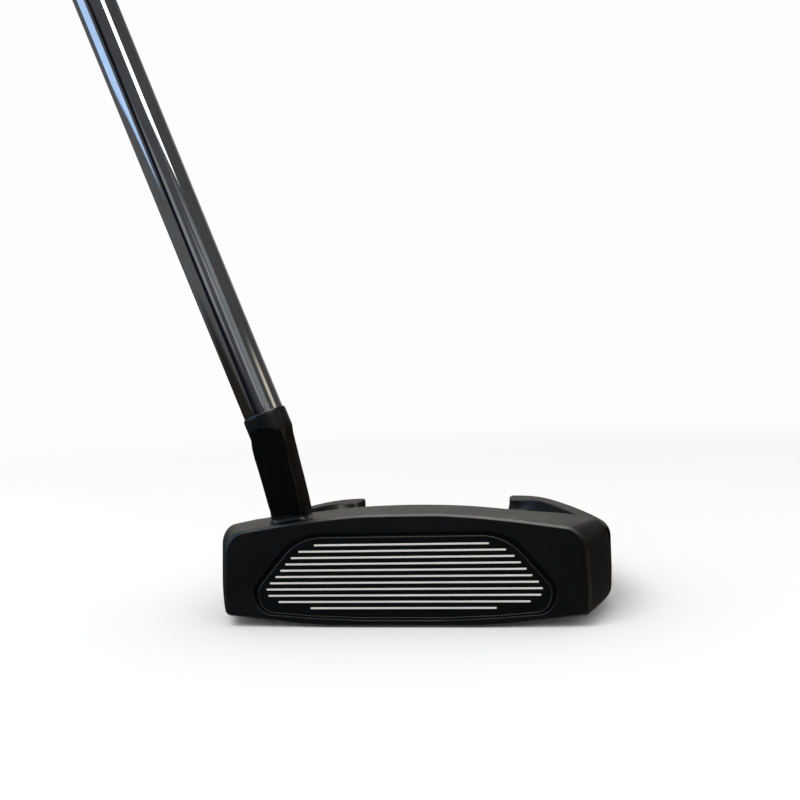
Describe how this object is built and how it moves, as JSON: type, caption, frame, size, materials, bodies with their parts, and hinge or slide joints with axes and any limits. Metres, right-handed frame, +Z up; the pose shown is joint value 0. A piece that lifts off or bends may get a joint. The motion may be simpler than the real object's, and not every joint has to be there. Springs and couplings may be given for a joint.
{
  "type": "mallet putter",
  "caption": "Left-handed golf putter with a fanged mallet head, slant neck, steel shaft and pistol grip; sole weights unscrew from the head.",
  "frame": {"origin": "middle of the flat sole plate, on the ground, with the club at address", "axes": "+X towards the toe, +Y from the face to the back of the head, +Z up; the shaft leans towards -X"},
  "size_m": [0.3791, 0.0962, 0.8125],
  "materials": {
    "body_black": "satin black anodised",
    "wing_black": "satin black finish over steel",
    "insert_black": "matte black urethane",
    "beam_bright": "bright milled",
    "bond_tape": "foam and paper tape",
    "elastomer": "soft damper",
    "white_inlay": "white filled line",
    "black_chrome": "polished black chrome",
    "grip_rubber": "matte textured",
    "cap_black": "moulded",
    "screw_dark": "dark steel",
    "weight_grey": "turned steel",
    "seal_black": "nitrile"
  },
  "bodies": {
    "club": {"face_damper": "elastomer", "face_insert": "insert_black", "grip_end_cap": "cap_black", "grip_sleeve": "grip_rubber", "grip_tape": "bond_tape", "head_body": "body_black", "insert_beam_plate": "beam_bright", "insert_bond_tape": "bond_tape", "neck_screw": "screw_dark", "shaft_tube": "black_chrome", "sight_line_inlay": "white_inlay", "slant_neck": "wing_black", "sole_plate": "body_black", "sole_plate_screw_1": "screw_dark", "sole_plate_screw_2": "screw_dark", "sole_plate_screw_3": "screw_dark", "sole_plate_screw_4": "screw_dark", "wing_heel": "wing_black", "wing_toe": "wing_black", "wing_screw_heel_1": "screw_dark", "wing_screw_heel_2": "screw_dark", "wing_screw_toe_1": "screw_dark", "wing_screw_toe_2": "screw_dark"},
    "heel_seal": {"weight_seal_heel": "seal_black"},
    "heel_weight": {"sole_weight_heel": "weight_grey"},
    "toe_seal": {"weight_seal_toe": "seal_black"},
    "toe_weight": {"sole_weight_toe": "weight_grey"}
  },
  "joints": [
    {"name": "heel_weight_travel", "type": "slide", "parent": "club", "child": "heel_seal", "axis": [0, 0, -1], "range_m": [0, 0.006]},
    {"name": "heel_weight_turn", "type": "hinge", "parent": "heel_seal", "child": "heel_weight", "pos_m": [-0.0335, 0.015, 0], "axis": [0, 0, -1], "range_deg": [0, 2160]},
    {"name": "toe_weight_travel", "type": "slide", "parent": "club", "child": "toe_seal", "axis": [0, 0, -1], "range_m": [0, 0.006]},
    {"name": "toe_weight_turn", "type": "hinge", "parent": "toe_seal", "child": "toe_weight", "pos_m": [0.0335, 0.015, 0], "axis": [0, 0, -1], "range_deg": [0, 2160]}
  ],
  "couplings": [
    {"joint": "heel_weight_travel", "follows": "heel_weight_turn", "m_per_rad": 0.00015915},
    {"joint": "toe_weight_travel", "follows": "toe_weight_turn", "m_per_rad": 0.00015915}
  ]
}
